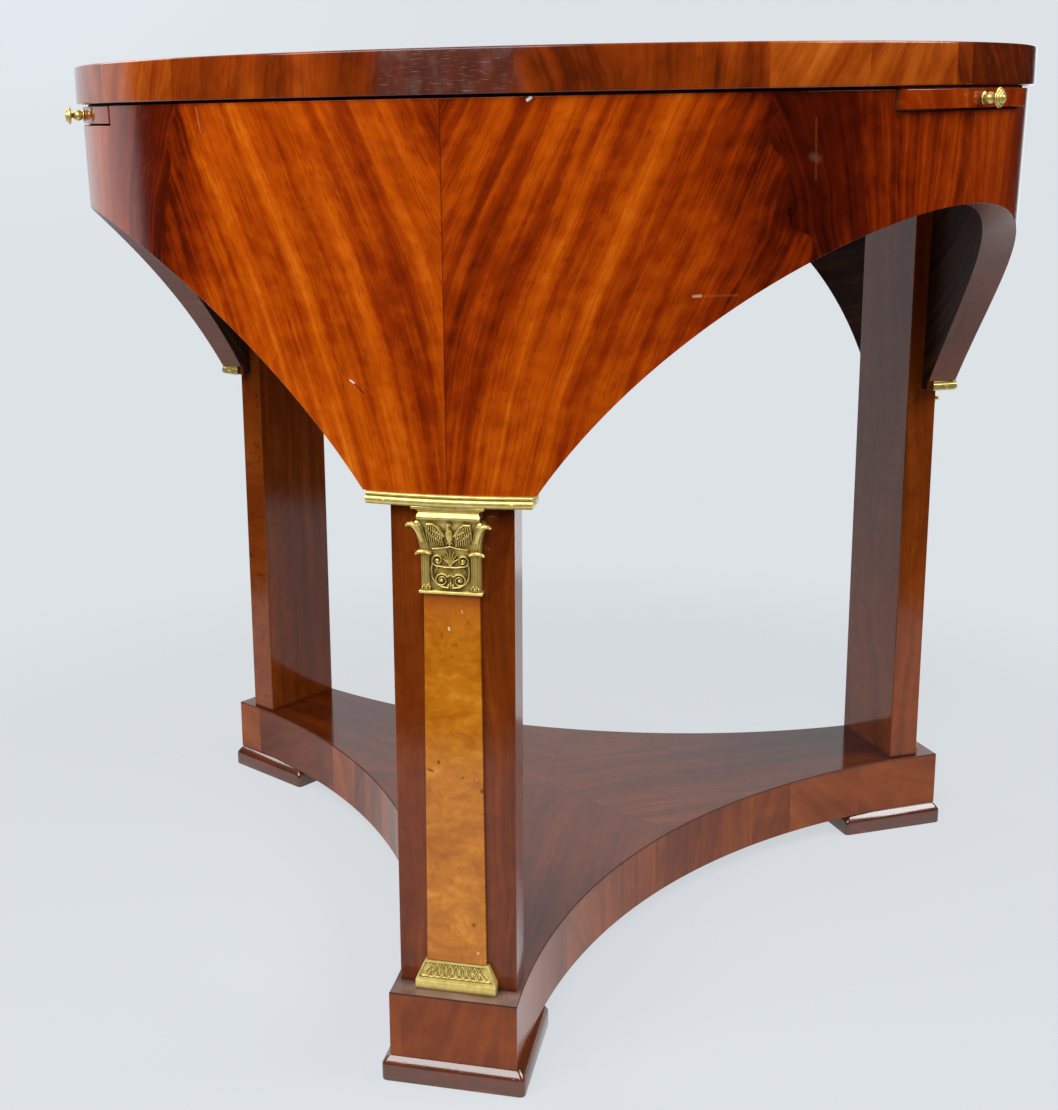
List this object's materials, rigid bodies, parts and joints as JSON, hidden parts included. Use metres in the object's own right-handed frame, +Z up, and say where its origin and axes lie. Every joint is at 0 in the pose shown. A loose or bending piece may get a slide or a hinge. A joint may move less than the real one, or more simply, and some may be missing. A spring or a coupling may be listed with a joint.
{
  "type": "round table",
  "caption": "Round mahogany table on flat legs and a hollow-sided base, with an arched apron, brass-mounted pilasters and pull-out slides under the top.",
  "frame": {"origin": "on the floor under the middle of the top", "axes": "+Z up; the front leg stands towards -Y, the others a third of a turn each way"},
  "size_m": [0.8159, 0.8274, 0.76],
  "materials": {
    "mahogany_top": "French-polished mahogany veneer, high gloss",
    "mahogany_apron": "French-polished figured mahogany veneer, high gloss",
    "mahogany_leg": "polished plain mahogany, satin gloss",
    "burl": "polished burl veneer",
    "brass": "cast and chased brass, lacquered",
    "steel": "dull steel",
    "carcase_wood": "bare sawn pine and oak, darkened with age"
  },
  "bodies": {
    "table": {"apron_front": "mahogany_apron", "apron_left": "mahogany_apron", "apron_right": "mahogany_apron", "apron_strip_front": "brass", "apron_strip_left": "brass", "apron_strip_right": "brass", "base_platform": "mahogany_leg", "bearer_front": "carcase_wood", "bearer_left": "carcase_wood", "bearer_right": "carcase_wood", "capital_front": "brass", "capital_left": "brass", "capital_right": "brass", "foot_front": "mahogany_leg", "foot_left": "mahogany_leg", "foot_right": "mahogany_leg", "hub_block": "carcase_wood", "joint_block_back": "carcase_wood", "joint_block_left": "carcase_wood", "joint_block_right": "carcase_wood", "leg_front": "mahogany_leg", "leg_glue_blocks_front": "carcase_wood", "leg_glue_blocks_left": "carcase_wood", "leg_glue_blocks_right": "carcase_wood", "leg_left": "mahogany_leg", "leg_right": "mahogany_leg", "pilaster_base_front": "brass", "pilaster_base_left": "brass", "pilaster_base_right": "brass", "pilaster_front": "burl", "pilaster_left": "burl", "pilaster_right": "burl", "slide_back_rail_back": "carcase_wood", "slide_back_rail_left": "carcase_wood", "slide_back_rail_right": "carcase_wood", "slide_guide_a_back": "carcase_wood", "slide_guide_a_left": "carcase_wood", "slide_guide_a_right": "carcase_wood", "slide_guide_b_back": "carcase_wood", "slide_guide_b_left": "carcase_wood", "slide_guide_b_right": "carcase_wood", "strip_pins": "brass", "top_board": "mahogany_top", "top_edge_band": "mahogany_top", "wood_screws": "steel"},
    "slide_right": {"slide_board_right": "carcase_wood", "slide_front_right": "mahogany_apron", "slide_knob_right": "brass", "slide_stop_peg_right": "carcase_wood"},
    "slide_back": {"slide_board_back": "carcase_wood", "slide_front_back": "mahogany_apron", "slide_knob_back": "brass", "slide_stop_peg_back": "carcase_wood"},
    "slide_left": {"slide_board_left": "carcase_wood", "slide_front_left": "mahogany_apron", "slide_knob_left": "brass", "slide_stop_peg_left": "carcase_wood"}
  },
  "joints": [
    {"name": "slide_right_pull", "type": "slide", "parent": "table", "child": "slide_right", "axis": [0.866, -0.5, 0], "range_m": [-0.006, 0.144]},
    {"name": "slide_back_pull", "type": "slide", "parent": "table", "child": "slide_back", "axis": [0, 1, 0], "range_m": [0, 0.15]},
    {"name": "slide_left_pull", "type": "slide", "parent": "table", "child": "slide_left", "axis": [-0.866, -0.5, 0], "range_m": [0, 0.15]}
  ]
}
